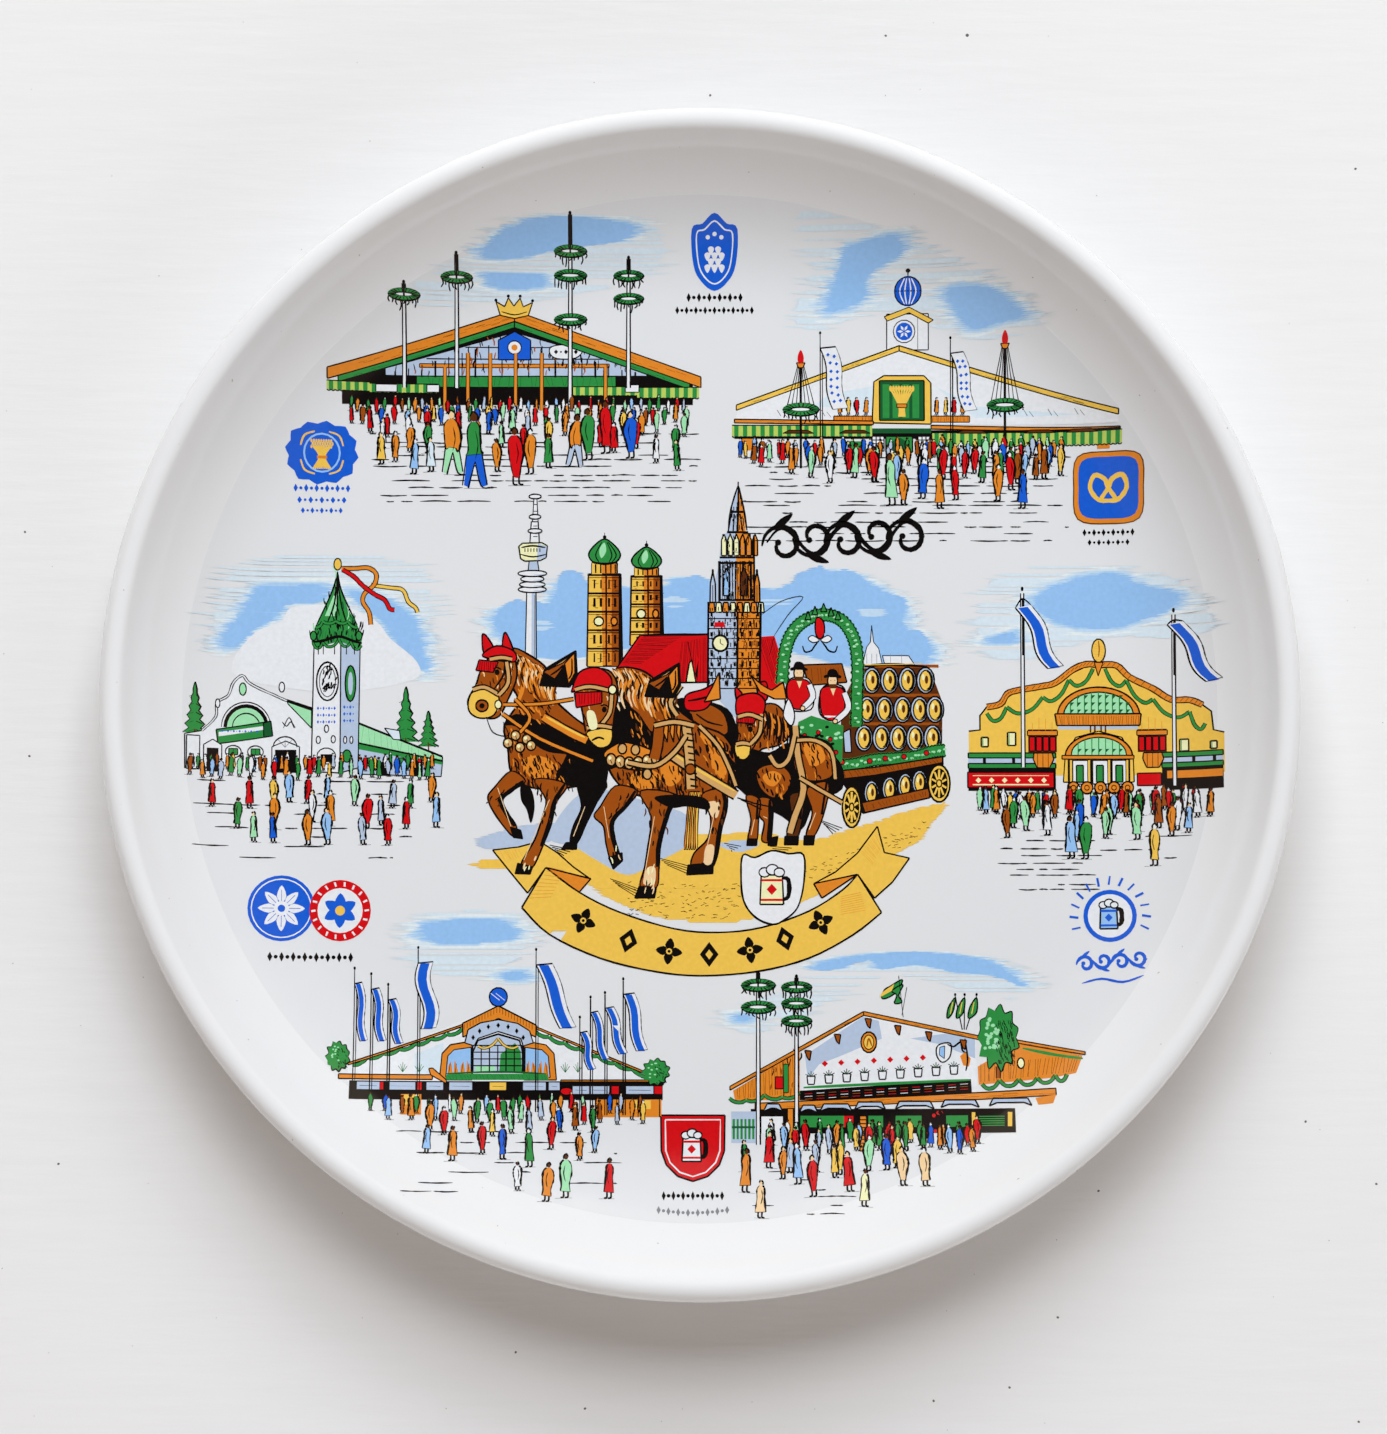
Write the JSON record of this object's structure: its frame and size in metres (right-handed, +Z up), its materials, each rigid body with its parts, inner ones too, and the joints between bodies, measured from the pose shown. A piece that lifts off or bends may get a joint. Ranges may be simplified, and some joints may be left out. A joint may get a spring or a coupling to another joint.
{
  "type": "souvenir plate",
  "caption": "Round white porcelain wall plate with a deep curved rim, a foot ring pierced for a hanging wire, and a fired colour picture on its well.",
  "frame": {"origin": "centre of the foot ring's resting plane", "axes": "+Z up out of the well, the plate's turning axis; +Y towards the top of the picture; +X towards the picture's right"},
  "size_m": [0.19, 0.19, 0.022],
  "materials": {
    "porcelain": "glossy white glaze, unglazed on the foot's resting band",
    "clear_flux": "glossy clear fired film",
    "enamel_brown": "glossy fired enamel",
    "enamel_yellow": "glossy fired enamel",
    "enamel_black": "glossy fired enamel",
    "enamel_green": "glossy fired enamel",
    "enamel_blue": "glossy fired enamel",
    "enamel_red": "glossy fired enamel"
  },
  "bodies": {
    "root": {"plate_body": "porcelain", "flux_film": "clear_flux", "print_centre_picture": "enamel_brown", "print_banner": "enamel_yellow", "print_flourish": "enamel_black", "print_scene_north_west": "enamel_green", "print_scene_north_east": "enamel_green", "print_scene_west": "enamel_green", "print_scene_east": "enamel_green", "print_scene_south_west": "enamel_green", "print_scene_south_east": "enamel_green", "print_badge_north": "enamel_blue", "print_badge_north_west": "enamel_blue", "print_badge_north_east": "enamel_blue", "print_badge_south_west": "enamel_red", "print_badge_south_east": "enamel_blue", "print_badge_south": "enamel_red"}
  },
  "joints": []
}
